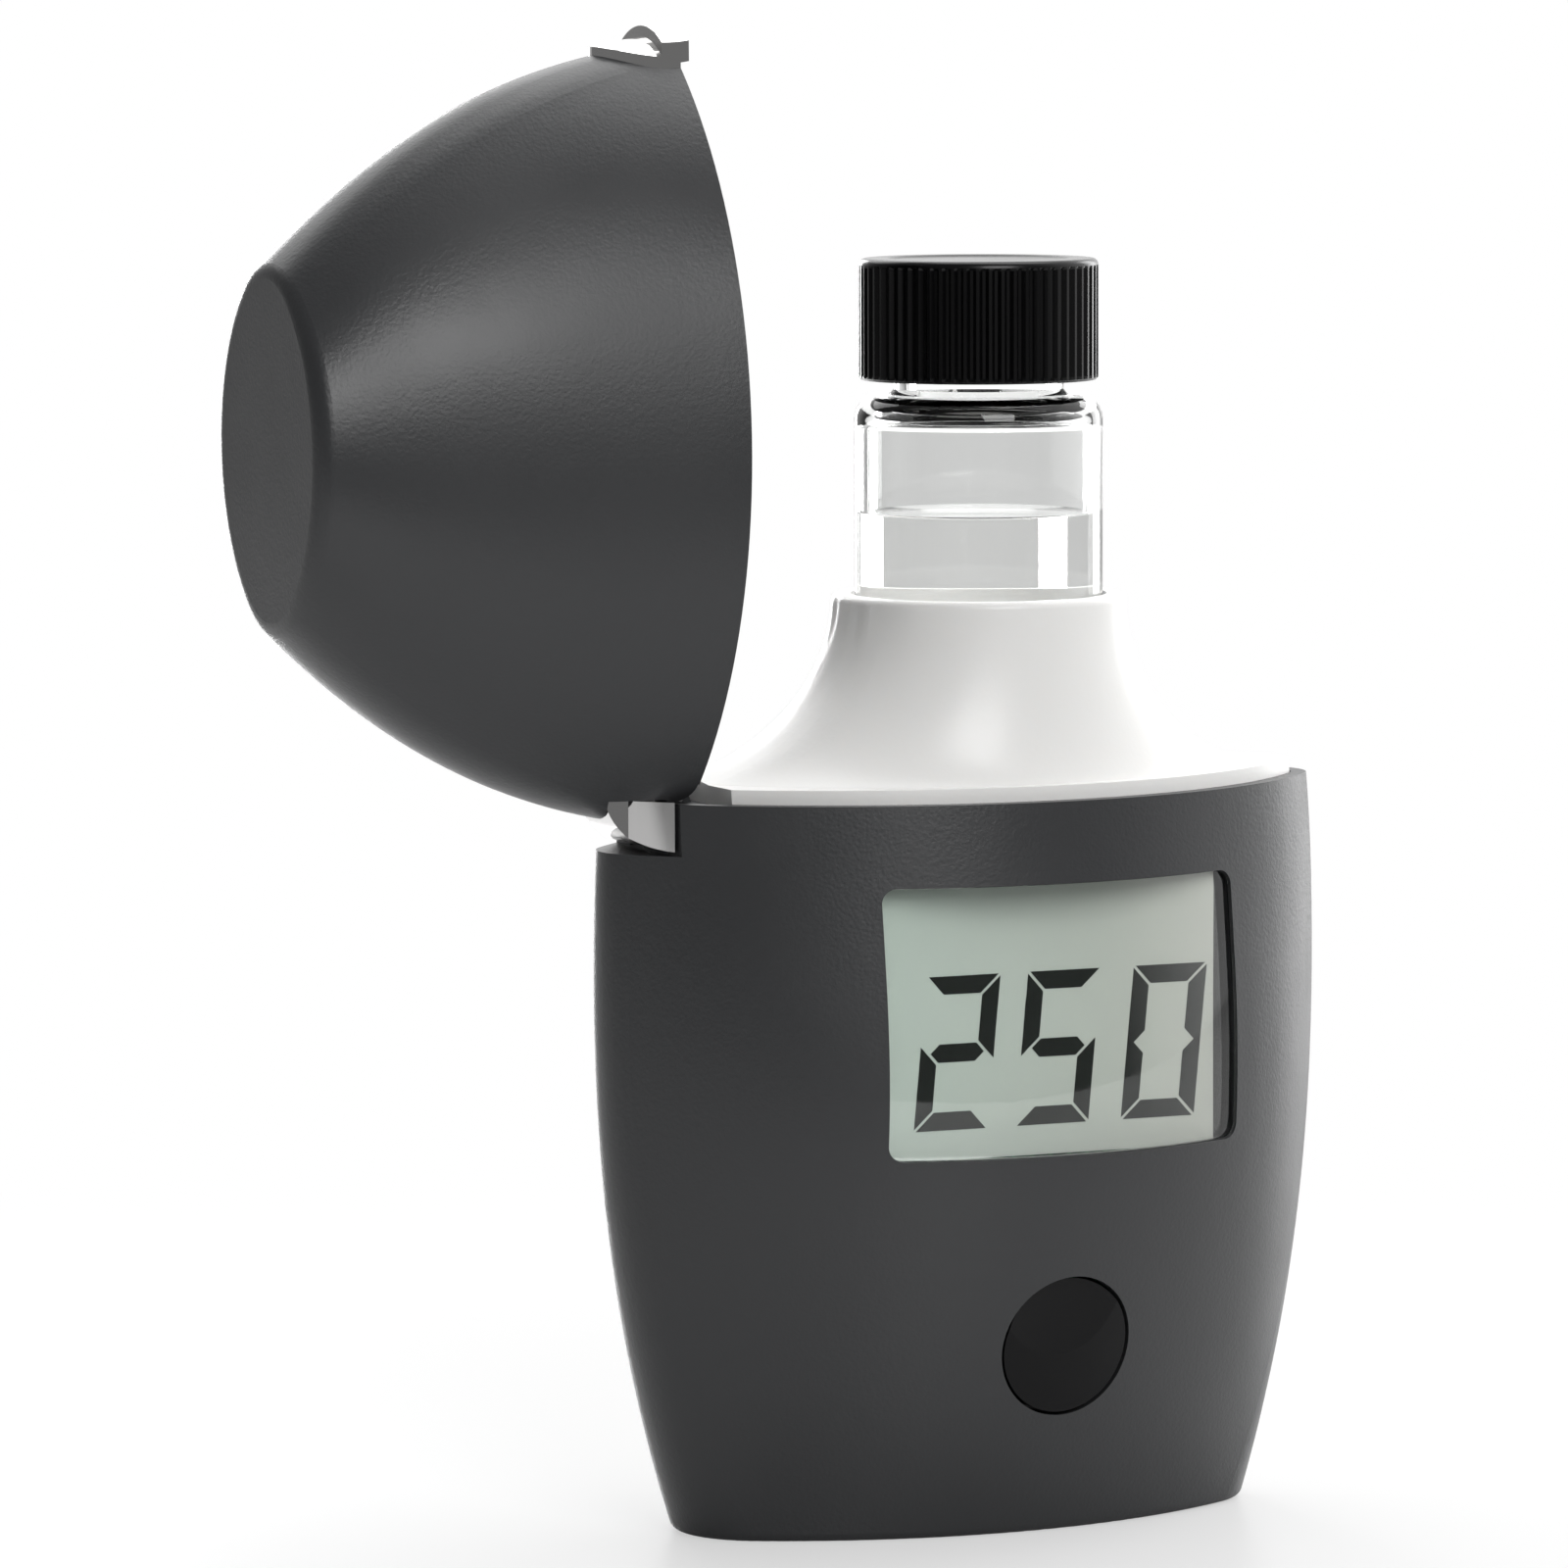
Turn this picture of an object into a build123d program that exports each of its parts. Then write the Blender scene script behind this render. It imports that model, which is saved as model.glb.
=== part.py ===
from build123d import *
import math
import os

os.makedirs("parts", exist_ok=True)

# Egg-shaped case, closed: lengths along X, depths along Y, heights along Z
case_length = 61.0
case_depth = 37.5
case_height = 89.7
seam_height = 57.2
length_belly = 44.5
depth_belly = 36.0
base_length = 47.9
base_depth = 22.4
top_length = 27.2
top_depth = 21.0
base_tip = 7.0
seam_tip = 5.0
top_tip = 7.5
base_edge = 0.8
top_edge = 1.6
wall = 1.8
floor = 2.0
lid_wall = 1.4
roof = 1.8

# Common gaps
swing_gap = 0.3
seat_gap = 0.1
fit_gap = 0.05

# Axis shared by the neck, the display and the button
axis_x = 1.8

# White inner cover with its neck
cover_inset = 1.3
cover_edge = 1.1
cover_border = 0.5
cover_sink = 0.6
ledge_depth = 2.0
cover_wall = 1.5
neck_radius = 11.45
neck_rise = 14.9
neck_edge = 0.5
lip_inset = 0.9
lip_height = 1.8
flare_round = 0.94
seal_drop = 3.6
seal_groove = 1.1

# Cuvette, drawn out of its well as in use
glass_radius = 9.65
glass_wall = 1.0
glass_floor = 1.2
glass_bottom = 34.8
glass_height = 52.8
shoulder_edge = 1.6
shoulder_slope = 0.8
foot_edge = 1.0
mouth_edge = 0.5
mouth_radius = 6.6
mouth_height = 8.0
air_height = 9.2
seat_drop = 13.0
cap_radius = 9.3
cap_gap = 1.1
cap_height = 9.4
cap_wall = 1.6
cap_ribs = 60
rib_groove = 0.28
cap_edge = 0.5
liner_height = 0.9

# Well, light ports and filter housing
bore_gap = 0.3
well_wall = 0.8
well_floor = 1.5
beam_rise = 8.5
port_radius = 1.7
housing_size = 8.6
housing_depth = 3.0
filter_radius = 2.9
filter_height = 1.3
detector_radius = 2.3
detector_height = 0.7

# Display, board and switch, measured along Y from the well's flat front
window_width = 30.6
window_height = 20.8
window_drop = 16.6
window_corner = 1.2
window_sink = 0.4
window_sheet = 0.8
window_gap = 0.08
display_sheet = 1.0
display_margin = 0.5
display_width = 29.4
display_shift = -0.95
reflector_sheet = 0.25
board_sheet = 0.8
board_width = 27.4
board_drop = 5.6
board_step = 25.0
board_foot_width = 10.4
board_foot = 11.0
post_radius = 1.7
post_spread = 23.0
screw_radius = 0.8
screw_head = 1.5
screw_head_height = 0.8
chip_size = 6.0
chip_sheet = 1.0
led_radius = 1.5
led_reach = 0.4

# Round button and the switch behind it
button_z = 15.1
button_radius = 5.3
button_gap = 0.25
button_sink = 0.15
button_skin = 1.2
button_rim = 0.9
post_root = 0.3
flange_width = 0.6
flange_sheet = 0.45
button_travel = 0.4
dish_radius = 34.0
dish_depth = 0.35
switch_size = 4.5
switch_height = 1.6
plunger_radius = 1.1
plunger_height = 0.5

# Cell, its sleeve and the coin-slot door in the base
cell_x = -15.2
cell_radius = 5.25
cell_height = 44.5
cell_edge = 0.4
nipple_height = 0.8
sleeve_gap = 0.15
sleeve_wall = 0.7
contact_sheet = 0.5
door_radius = 6.5
door_gap = 0.2
door_sink = 0.3
door_height = 2.0
boss_wall = 1.0
seal_height = 0.3
seal_width = 1.0
leaf_radius = 3.6
slot_length = 10.0
slot_width = 1.7
slot_depth = 1.0

# Lid hinge at the left end and latch tongue at the right end
hinge_x = -26.2
hinge_rise = 1.5
lid_angle = 90.5
barrel_radius = 5.15
barrel_blunt = 2.7
barrel_edge = 0.6
barrel_cut = 0.4
pin_radius = 0.9
knuckle_half = 1.2
knuckle_radius = 2.3
cheek = 0.95
cheek_gap = 0.1
web_height = 2.1
pocket_wall = 1.2
ear_radius = 1.4
tongue_half = 4.0
tongue_height = 5.6
tongue_sheet = 0.65
tongue_overlap = 0.7
lip_sheet = 1.5
lip_block = 1.5

# Heights and depths that follow from the sizes above
neck_top = round(seam_height + neck_rise, 3)
hinge_z = round(seam_height + hinge_rise, 3)
window_z = round(seam_height - window_drop, 3)
board_top = round(seam_height - board_drop, 3)
shoulder_height = round(glass_bottom + glass_height, 3)
mouth_top = round(shoulder_height + mouth_height, 3)
cap_bottom = round(shoulder_height + cap_gap, 3)
liquid_height = round(glass_height - glass_floor - air_height, 3)
well_radius = glass_radius + bore_gap
well_outer = well_radius + well_wall
well_front = -(well_radius + 0.5)
seat_z = glass_bottom - seat_drop
beam_z = seat_z + beam_rise
edge_top = seam_height + cover_edge
ledge_z = seam_height - ledge_depth
board_back = well_front - fit_gap
board_front = board_back - board_sheet
display_back = board_front - reflector_sheet
display_front = display_back - display_sheet
window_left = axis_x - window_width / 2
window_bottom = window_z - window_height / 2
door_top = door_sink + door_height
cell_bottom = door_top + seal_height + contact_sheet + fit_gap
cell_top = cell_bottom + cell_height
sleeve_radius = cell_radius + sleeve_gap
sleeve_top = cell_top + contact_sheet + fit_gap
cap_top = cap_bottom + cap_height
liner_top = cap_top - cap_wall
notch_x = hinge_x - barrel_cut + swing_gap
notch_z = hinge_z - barrel_radius - swing_gap
lid_end_x = hinge_x - (hinge_z - seam_height) + swing_gap
block_top = hinge_z + lid_end_x - hinge_x - 1.5 * seat_gap
cheek_half = knuckle_half + cheek_gap + cheek
pocket_x = hinge_x + knuckle_radius
cover_end_x = pocket_x + pocket_wall + seat_gap

# Shares of the lower and the upper half's height at which the egg is drawn
lower_levels = [0, 0.1, 0.24, 0.42, 0.6, 0.78, 1]
upper_levels = [0.16, 0.34, 0.53, 0.71, 0.87, 1]


def share(height, start, end):
    """How far a height lies from start towards end, between 0 and 1."""
    return min(max((height - start) / (end - start), 0), 1)


def egg_size(height):
    """Half length, half depth and tip radius of the egg at a height."""
    low = share(height, length_belly, 0)
    high = share(height, length_belly, case_height)
    half_length = case_length / 2 - (case_length - base_length) / 2 * low**2.27
    half_length -= (case_length - top_length) / 2 * high**2.76
    low = share(height, depth_belly, 0)
    high = share(height, depth_belly, case_height)
    half_depth = case_depth / 2 - (case_depth - base_depth) / 2 * low**1.65
    half_depth -= (case_depth - top_depth) / 2 * high**1.3
    tip = base_tip + (seam_tip - base_tip) * share(height, 0, seam_height)
    tip += (top_tip - seam_tip) * share(height, seam_height, case_height)
    return half_length, half_depth, tip


def oval_line(half_length, half_depth, tip, centre=0.0):
    """Four tangent arcs: two long sides and two round tips."""
    reach = half_length - tip
    side = (reach**2 - (half_depth - tip) ** 2) / (2 * (half_depth - tip))
    span = math.hypot(reach, side)
    x = reach + tip * reach / span
    y = tip * side / span
    front = (centre, -half_depth)
    right = (centre + half_length, 0)
    back = (centre, half_depth)
    left = (centre - half_length, 0)
    ThreePointArc((centre - x, -y), front, (centre + x, -y))
    ThreePointArc((centre + x, -y), right, (centre + x, y))
    ThreePointArc((centre + x, y), back, (centre - x, y))
    ThreePointArc((centre - x, y), left, (centre - x, -y))


def round_line(radius, centre):
    """A circle of four equal arcs, which lofts to an oval's four arcs."""
    corner = radius * math.sqrt(0.5)
    ThreePointArc((centre - corner, -corner), (centre, -radius), (centre + corner, -corner))
    ThreePointArc((centre + corner, -corner), (centre + radius, 0), (centre + corner, corner))
    ThreePointArc((centre + corner, corner), (centre, radius), (centre - corner, corner))
    ThreePointArc((centre - corner, corner), (centre - radius, 0), (centre - corner, -corner))


def egg_form(inset, bottom=0.0, top=case_height):
    """The whole egg drawn in by inset, between two heights."""
    heights = [level * seam_height for level in lower_levels]
    heights += [seam_height + level * (case_height - seam_height) for level in upper_levels]
    with BuildPart() as form:
        for height in heights:
            half_length, half_depth, tip = egg_size(height)
            with BuildSketch(Plane.XY.offset(height)):
                with BuildLine():
                    oval_line(half_length - inset, half_depth - inset, tip - inset)
                make_face()
        loft()
        if bottom > 0:
            split(bisect_by=Plane.XY.offset(bottom), keep=Keep.TOP)
        if top < case_height:
            split(bisect_by=Plane.XY.offset(top), keep=Keep.BOTTOM)
    return form.part


def flare_form(inset, drop):
    """The cover's flare from the round neck down to the oval edge, drawn in and lowered."""
    half_length, half_depth, tip = egg_size(seam_height)
    edge_inset = cover_inset + cover_border + inset
    edge_length = half_length - edge_inset
    edge_depth = half_depth - edge_inset
    edge_tip = tip - edge_inset
    neck = neck_radius - inset
    with BuildPart() as form:
        with BuildSketch(Plane.XY.offset(neck_top - drop)):
            with BuildLine():
                round_line(neck, axis_x)
            make_face()
        for angle in (18, 36, 52, 66, 78, 90):
            keep = math.cos(math.radians(angle))
            height = neck_top - drop - (neck_top - edge_top) * math.sin(math.radians(angle))
            height -= cover_sink * (1 - keep)
            with BuildSketch(Plane.XY.offset(height)):
                with BuildLine():
                    oval_line(
                        edge_length - (edge_length - neck) * keep,
                        edge_depth - (edge_depth - neck) * keep,
                        edge_tip + (neck - edge_tip) * keep * flare_round,
                        axis_x * keep,
                    )
                make_face()
        loft()
    return form.part


def front_plane(x, y, z):
    """A plane at a point whose normal points out of the front."""
    return Plane(origin=(x, y, z), x_dir=(1, 0, 0), z_dir=(0, -1, 0))


hinge_plane = Plane(origin=(hinge_x, 0, hinge_z), x_dir=(1, 0, 0), z_dir=(0, -1, 0))
open_pose = Location((hinge_x, 0, hinge_z)) * Location((0, 0, 0), (0, -lid_angle, 0))
open_pose = open_pose * Location((-hinge_x, 0, -hinge_z))
half_length_base, half_depth_base, tip_base = egg_size(0)

# Body shell: lower half of the egg, with the openings, posts, sleeve and hinge knuckle
with BuildPart() as body_shell:
    add(egg_form(0))
    fillet(body_shell.edges().group_by(Axis.Z)[0], base_edge)
    split(bisect_by=Plane.XY.offset(seam_height), keep=Keep.BOTTOM)
    add(egg_form(wall, bottom=floor), mode=Mode.SUBTRACT)
    add(egg_form(cover_inset - seat_gap, bottom=ledge_z), mode=Mode.SUBTRACT)
    with BuildPart(mode=Mode.PRIVATE) as fittings:
        # sleeve and door boss for the cell
        with BuildSketch(Plane.XY.offset(base_edge)):
            with Locations((cell_x, 0)):
                Circle(sleeve_radius + sleeve_wall)
        extrude(amount=sleeve_top + sleeve_wall - base_edge)
        with BuildSketch(Plane.XY.offset(base_edge)):
            with Locations((cell_x, 0)):
                Circle(door_radius + door_gap + boss_wall)
        extrude(amount=door_top + seal_height + boss_wall - base_edge)
        # posts that carry the board
        with BuildSketch(front_plane(axis_x, board_front, board_step + post_radius)):
            with GridLocations(post_spread, 0, 2, 1):
                Circle(post_radius)
        extrude(amount=case_depth / 4)
        # pocket behind the hinge notch
        with Locations((pocket_x + pocket_wall, 0, notch_z)):
            Box(
                case_length / 2 + pocket_x + pocket_wall,
                case_depth,
                pocket_wall,
                align=(Align.MAX, Align.CENTER, Align.MAX),
            )
        with Locations((pocket_x + pocket_wall, 0, notch_z - pocket_wall)):
            Box(
                pocket_wall,
                case_depth,
                seam_height - swing_gap - notch_z + pocket_wall,
                align=(Align.MAX, Align.CENTER, Align.MIN),
            )
        add(egg_form(base_edge), mode=Mode.INTERSECT)
    add(fittings.part)
    # notch for the hinge block
    with Locations((notch_x, 0, notch_z)):
        Box(
            case_length / 2,
            case_depth,
            case_height,
            align=(Align.MAX, Align.CENTER, Align.MIN),
            mode=Mode.SUBTRACT,
        )
    # knuckle on an arm that rises from the pocket
    with BuildSketch(hinge_plane.offset(-knuckle_half)):
        Circle(knuckle_radius)
        with BuildLine():
            Polyline(
                (0, -knuckle_radius),
                (0, notch_z - hinge_z - pocket_wall / 2),
                (knuckle_radius + pocket_wall / 2, notch_z - hinge_z - pocket_wall / 2),
                (knuckle_radius + pocket_wall / 2, seam_height - swing_gap - hinge_z),
                (knuckle_radius, 0),
                (0, 0),
                close=True,
            )
        make_face()
        Circle(pin_radius + fit_gap, mode=Mode.SUBTRACT)
    extrude(amount=2 * knuckle_half)
    # display opening and the pocket behind it
    with BuildSketch(front_plane(axis_x, 0, window_z)):
        RectangleRounded(window_width, window_height, window_corner)
    extrude(amount=case_depth, mode=Mode.SUBTRACT)
    with BuildSketch(front_plane(axis_x + display_shift, 0, window_z)):
        Rectangle(display_width + 2 * seat_gap, window_height + 2 * display_margin + 2 * seat_gap)
    extrude(amount=seat_gap - display_front, mode=Mode.SUBTRACT)
    # button hole
    with BuildSketch(front_plane(axis_x, 0, button_z)):
        Circle(button_radius + button_gap)
    extrude(amount=case_depth, mode=Mode.SUBTRACT)
    # board screw holes
    with BuildSketch(front_plane(axis_x, board_front, board_step + post_radius)):
        with GridLocations(post_spread, 0, 2, 1):
            Circle(screw_radius)
    extrude(amount=post_radius, mode=Mode.SUBTRACT)
    # bore for the cell and seat for its door
    with BuildSketch(Plane.XY):
        with Locations((cell_x, 0)):
            Circle(sleeve_radius)
    extrude(amount=sleeve_top, mode=Mode.SUBTRACT)
    with BuildSketch(Plane.XY):
        with Locations((cell_x, 0)):
            Circle(door_radius + door_gap)
    extrude(amount=door_top + seal_height, mode=Mode.SUBTRACT)
body_shell.part.label = "body_shell"
export_step(body_shell.part, "parts/body_shell.step")

# Inner cover: white flare and neck that closes the body round the cuvette
with BuildPart() as inner_cover:
    add(egg_form(cover_inset, bottom=ledge_z, top=edge_top))
    add(flare_form(0, 0))
    fillet(inner_cover.edges().group_by(Axis.Z)[-1], neck_edge)
    add(egg_form(cover_inset + cover_wall, bottom=ledge_z, top=edge_top - cover_wall), mode=Mode.SUBTRACT)
    add(flare_form(cover_wall, cover_wall), mode=Mode.SUBTRACT)
    with BuildSketch(Plane.XY.offset(ledge_z)):
        with Locations((axis_x, 0)):
            Circle(well_radius)
    extrude(amount=case_height, mode=Mode.SUBTRACT)
    with BuildSketch(Plane.XY.offset(ledge_z)):
        with Locations((axis_x, 0)):
            Circle(well_outer + seat_gap)
    extrude(amount=(neck_top + edge_top) / 2 - ledge_z, mode=Mode.SUBTRACT)
    with BuildSketch(Plane.XY.offset(neck_top - seal_drop)):
        with Locations((axis_x, 0)):
            Circle(well_outer)
    extrude(amount=seal_groove, mode=Mode.SUBTRACT)
    with Locations((cover_end_x, 0, ledge_z)):
        Box(
            case_length / 2,
            case_depth,
            2 * ledge_depth,
            align=(Align.MAX, Align.CENTER, Align.MIN),
            mode=Mode.SUBTRACT,
        )
inner_cover.part.label = "inner_cover"
export_step(inner_cover.part, "parts/inner_cover.step")

# Seal ring in the neck that grips the glass and keeps light out
with BuildPart() as cuvette_seal:
    with BuildSketch(Plane.XY.offset(neck_top - seal_drop + fit_gap)):
        with Locations((axis_x, 0)):
            Circle(well_outer - fit_gap)
            Circle(glass_radius + fit_gap, mode=Mode.SUBTRACT)
    extrude(amount=seal_groove - 2 * fit_gap)
cuvette_seal.part.label = "cuvette_seal"
export_step(cuvette_seal.part, "parts/cuvette_seal.step")

# Cuvette well: black tube with two light ports and a filter housing behind
with BuildPart() as cuvette_well:
    with BuildSketch(Plane.XY.offset(seat_z - well_floor)):
        with Locations((axis_x, 0)):
            Circle(well_outer)
    extrude(amount=(neck_top + edge_top) / 2 - fit_gap - seat_z + well_floor)
    with Locations((axis_x, well_radius, beam_z)):
        Box(
            housing_size,
            housing_depth,
            housing_size,
            align=(Align.CENTER, Align.MIN, Align.CENTER),
        )
    with BuildSketch(Plane.XY.offset(seat_z)):
        with Locations((axis_x, 0)):
            Circle(well_radius)
    extrude(amount=case_height, mode=Mode.SUBTRACT)
    with Locations((axis_x, well_front, seat_z - well_floor)):
        Box(
            2 * well_outer,
            well_wall,
            board_top + swing_gap - seat_z + well_floor,
            align=(Align.CENTER, Align.MAX, Align.MIN),
            mode=Mode.SUBTRACT,
        )
    with BuildSketch(front_plane(axis_x, 0, beam_z)):
        Circle(port_radius)
    extrude(amount=case_depth / 2, both=True, mode=Mode.SUBTRACT)
    with BuildSketch(front_plane(axis_x, well_radius + housing_depth, beam_z)):
        Circle(filter_radius + fit_gap)
    extrude(amount=filter_height + detector_height, mode=Mode.SUBTRACT)
cuvette_well.part.label = "cuvette_well"
export_step(cuvette_well.part, "parts/cuvette_well.step")

# Filter and detector in the housing, and the small board that closes it
filter_front = well_radius + housing_depth - filter_height - detector_height
with BuildPart() as light_filter:
    with BuildSketch(front_plane(axis_x, filter_front + filter_height, beam_z)):
        Circle(filter_radius)
    extrude(amount=filter_height)
light_filter.part.label = "light_filter"
export_step(light_filter.part, "parts/light_filter.step")

with BuildPart() as light_detector:
    with BuildSketch(front_plane(axis_x, well_radius + housing_depth, beam_z)):
        Circle(detector_radius)
    extrude(amount=detector_height)
light_detector.part.label = "light_detector"
export_step(light_detector.part, "parts/light_detector.step")

with BuildPart() as detector_board:
    with Locations((axis_x, well_radius + housing_depth, beam_z)):
        Box(
            housing_size,
            board_sheet,
            housing_size,
            align=(Align.CENTER, Align.MIN, Align.CENTER),
        )
detector_board.part.label = "detector_board"
export_step(detector_board.part, "parts/detector_board.step")

# Display window: clear sheet that follows the case, just below its surface
with BuildPart() as display_window:
    with BuildSketch(front_plane(axis_x, 0, window_z)):
        RectangleRounded(
            window_width - 2 * window_gap,
            window_height - 2 * window_gap,
            window_corner - window_gap,
        )
    extrude(amount=case_depth)
    add(egg_form(window_sink), mode=Mode.INTERSECT)
    add(egg_form(window_sink + window_sheet), mode=Mode.SUBTRACT)
display_window.part.label = "display_window"
export_step(display_window.part, "parts/display_window.step")

# Display glass on its reflector, in the pocket behind the window
with BuildPart() as display_glass:
    with Locations((axis_x + display_shift, display_back, window_z)):
        Box(
            display_width,
            display_sheet,
            window_height + 2 * display_margin,
            align=(Align.CENTER, Align.MAX, Align.CENTER),
        )
display_glass.part.label = "display_glass"
export_step(display_glass.part, "parts/display_glass.step")

with BuildPart() as display_reflector:
    with Locations((axis_x, board_front, window_z)):
        Box(
            board_width,
            reflector_sheet,
            window_height,
            align=(Align.CENTER, Align.MAX, Align.CENTER),
        )
display_reflector.part.label = "display_reflector"
export_step(display_reflector.part, "parts/display_reflector.step")

# Main board with a narrow foot behind the button
with BuildPart() as main_board:
    with BuildSketch(front_plane(axis_x, board_back, 0)):
        with Locations((0, board_step)):
            Rectangle(board_width, board_top - board_step, align=(Align.CENTER, Align.MIN))
        with Locations((0, board_foot)):
            Rectangle(board_foot_width, board_step - board_foot, align=(Align.CENTER, Align.MIN))
        with Locations((0, board_step + post_radius)):
            with GridLocations(post_spread, 0, 2, 1):
                Circle(screw_radius + fit_gap, mode=Mode.SUBTRACT)
    extrude(amount=board_sheet)
main_board.part.label = "main_board"
export_step(main_board.part, "parts/main_board.step")

with BuildPart() as board_screws:
    with BuildSketch(front_plane(axis_x, board_back, board_step + post_radius)):
        with GridLocations(post_spread, 0, 2, 1):
            Circle(screw_radius - fit_gap)
    extrude(amount=board_sheet + post_radius - fit_gap)
    with BuildSketch(front_plane(axis_x, board_back + screw_head_height, board_step + post_radius)):
        with GridLocations(post_spread, 0, 2, 1):
            Circle(screw_head)
    extrude(amount=screw_head_height)
board_screws.part.label = "board_screws"
export_step(board_screws.part, "parts/board_screws.step")

with BuildPart() as processor_chip:
    with Locations((axis_x - board_width / 2 + chip_size / 2 + 0.5, board_back, board_top - chip_size)):
        Box(
            chip_size,
            chip_sheet,
            chip_size,
            align=(Align.CENTER, Align.MIN, Align.CENTER),
        )
processor_chip.part.label = "processor_chip"
export_step(processor_chip.part, "parts/processor_chip.step")

with BuildPart() as light_source:
    with BuildSketch(front_plane(axis_x, well_front + led_reach, beam_z)):
        Circle(led_radius)
    extrude(amount=well_front + led_reach - board_back)
light_source.part.label = "light_source"
export_step(light_source.part, "parts/light_source.step")

# Switch on the board's foot, and the plunger that the button pushes
with BuildPart() as key_switch:
    with Locations((axis_x, board_front, button_z)):
        Box(
            switch_size,
            switch_height,
            switch_size,
            align=(Align.CENTER, Align.MAX, Align.CENTER),
        )
    with BuildSketch(front_plane(axis_x, board_front - switch_height / 2, button_z)):
        Circle(plunger_radius + fit_gap)
    extrude(amount=switch_height, mode=Mode.SUBTRACT)
key_switch.part.label = "key_switch"
export_step(key_switch.part, "parts/key_switch.step")

plunger_front = board_front - switch_height - plunger_height
with BuildPart() as switch_plunger:
    with BuildSketch(front_plane(axis_x, board_front - switch_height / 2 - button_travel - fit_gap, button_z)):
        Circle(plunger_radius)
    extrude(amount=board_front - switch_height / 2 - button_travel - fit_gap - plunger_front)
switch_plunger.part.label = "switch_plunger"
export_step(switch_plunger.part, "parts/switch_plunger.step")

# Button: dished cup with a back flange and a post on the plunger
button_surface = egg_size(button_z)[1]
flange_back = board_front - button_travel - seat_gap
with BuildPart() as power_button:
    with BuildSketch(front_plane(axis_x, flange_back, button_z)):
        Circle(button_radius)
    extrude(amount=case_depth / 4)
    add(egg_form(button_sink), mode=Mode.INTERSECT)
    with Locations((axis_x, dish_depth - button_surface - dish_radius, button_z)):
        Sphere(dish_radius, mode=Mode.SUBTRACT)
    with BuildSketch(front_plane(axis_x, flange_back, button_z)):
        Circle(button_radius + flange_width)
    extrude(amount=flange_sheet)
    with BuildPart(mode=Mode.PRIVATE) as cup_hollow:
        with BuildSketch(front_plane(axis_x, flange_back, button_z)):
            Circle(button_radius - button_rim)
        extrude(amount=case_depth / 4)
        add(egg_form(button_skin), mode=Mode.INTERSECT)
    add(cup_hollow.part, mode=Mode.SUBTRACT)
    with BuildPart(mode=Mode.PRIVATE) as cup_post:
        with BuildSketch(front_plane(axis_x, plunger_front, button_z)):
            Circle(plunger_radius)
        extrude(amount=case_depth / 4)
        add(egg_form(button_skin - post_root), mode=Mode.INTERSECT)
    add(cup_post.part)
power_button.part.label = "power_button"
export_step(power_button.part, "parts/power_button.step")

# Cell with its raised end, and the contact above it
with BuildPart() as battery_cell:
    with BuildSketch(Plane.XY.offset(cell_bottom)):
        with Locations((cell_x, 0)):
            Circle(cell_radius)
    extrude(amount=cell_height - nipple_height)
    fillet(battery_cell.edges().filter_by(GeomType.CIRCLE), cell_edge)
    with BuildSketch(Plane.XY.offset(cell_top - nipple_height)):
        with Locations((cell_x, 0)):
            Circle(cell_radius / 3)
    extrude(amount=nipple_height)
battery_cell.part.label = "battery_cell"
export_step(battery_cell.part, "parts/battery_cell.step")

with BuildPart() as battery_contact:
    with BuildSketch(Plane.XY.offset(cell_top)):
        with Locations((cell_x, 0)):
            Circle(cell_radius - sleeve_gap)
    extrude(amount=contact_sheet)
battery_contact.part.label = "battery_contact"
export_step(battery_contact.part, "parts/battery_contact.step")

# Coin-slot door with its seal and the leaf that touches the cell
with BuildPart() as battery_door:
    with BuildSketch(Plane.XY.offset(door_sink)):
        with Locations((cell_x, 0)):
            Circle(door_radius)
    extrude(amount=door_height)
    with BuildSketch(Plane.XY.offset(door_top)):
        with Locations((cell_x, 0)):
            Circle(door_radius - seal_width)
    extrude(amount=seal_height)
    with BuildSketch(Plane.XY.offset(door_sink)):
        with Locations((cell_x, 0)):
            SlotOverall(slot_length, slot_width)
    extrude(amount=slot_depth, mode=Mode.SUBTRACT)
battery_door.part.label = "battery_door"
export_step(battery_door.part, "parts/battery_door.step")

with BuildPart() as battery_seal:
    with BuildSketch(Plane.XY.offset(door_top)):
        with Locations((cell_x, 0)):
            Circle(door_radius)
            Circle(door_radius - seal_width, mode=Mode.SUBTRACT)
    extrude(amount=seal_height - fit_gap)
battery_seal.part.label = "battery_seal"
export_step(battery_seal.part, "parts/battery_seal.step")

with BuildPart() as contact_leaf:
    with BuildSketch(Plane.XY.offset(door_top + seal_height)):
        with Locations((cell_x, 0)):
            Circle(leaf_radius)
    extrude(amount=contact_sheet)
    chamfer(contact_leaf.edges().group_by(Axis.Z)[-1], contact_sheet / 2)
contact_leaf.part.label = "contact_leaf"
export_step(contact_leaf.part, "parts/contact_leaf.step")

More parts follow.
